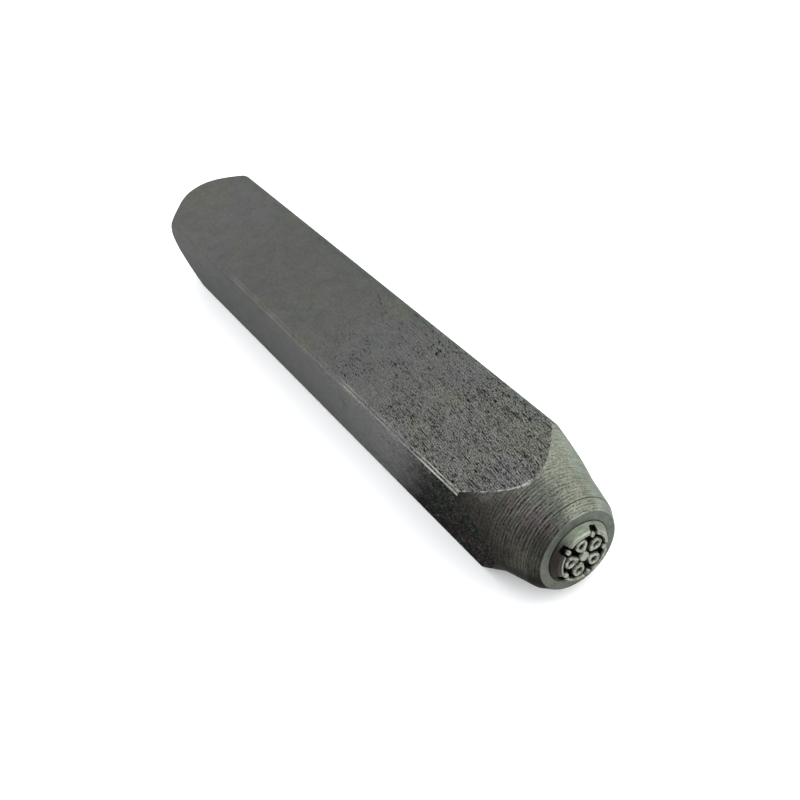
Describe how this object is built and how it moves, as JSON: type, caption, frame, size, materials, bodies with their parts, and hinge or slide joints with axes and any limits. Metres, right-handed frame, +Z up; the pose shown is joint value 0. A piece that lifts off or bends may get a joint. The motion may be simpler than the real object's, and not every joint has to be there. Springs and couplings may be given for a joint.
{
  "type": "metal stamp",
  "caption": "Square steel hand stamp with a turned struck end and a tapered nose whose round boss carries a raised flower relief for marking metal blanks.",
  "frame": {"origin": "middle of the bar's length and width, on the flat that it rests on", "axes": "+X along the bar towards the design end, +Z up, normal to the top flat"},
  "size_m": [0.0636, 0.0094, 0.0095],
  "materials": {
    "steel": "dark hardened steel, ground flats with grain and pits along the bar, turned ends"
  },
  "bodies": {
    "root": {"stamp": "steel"}
  },
  "joints": []
}
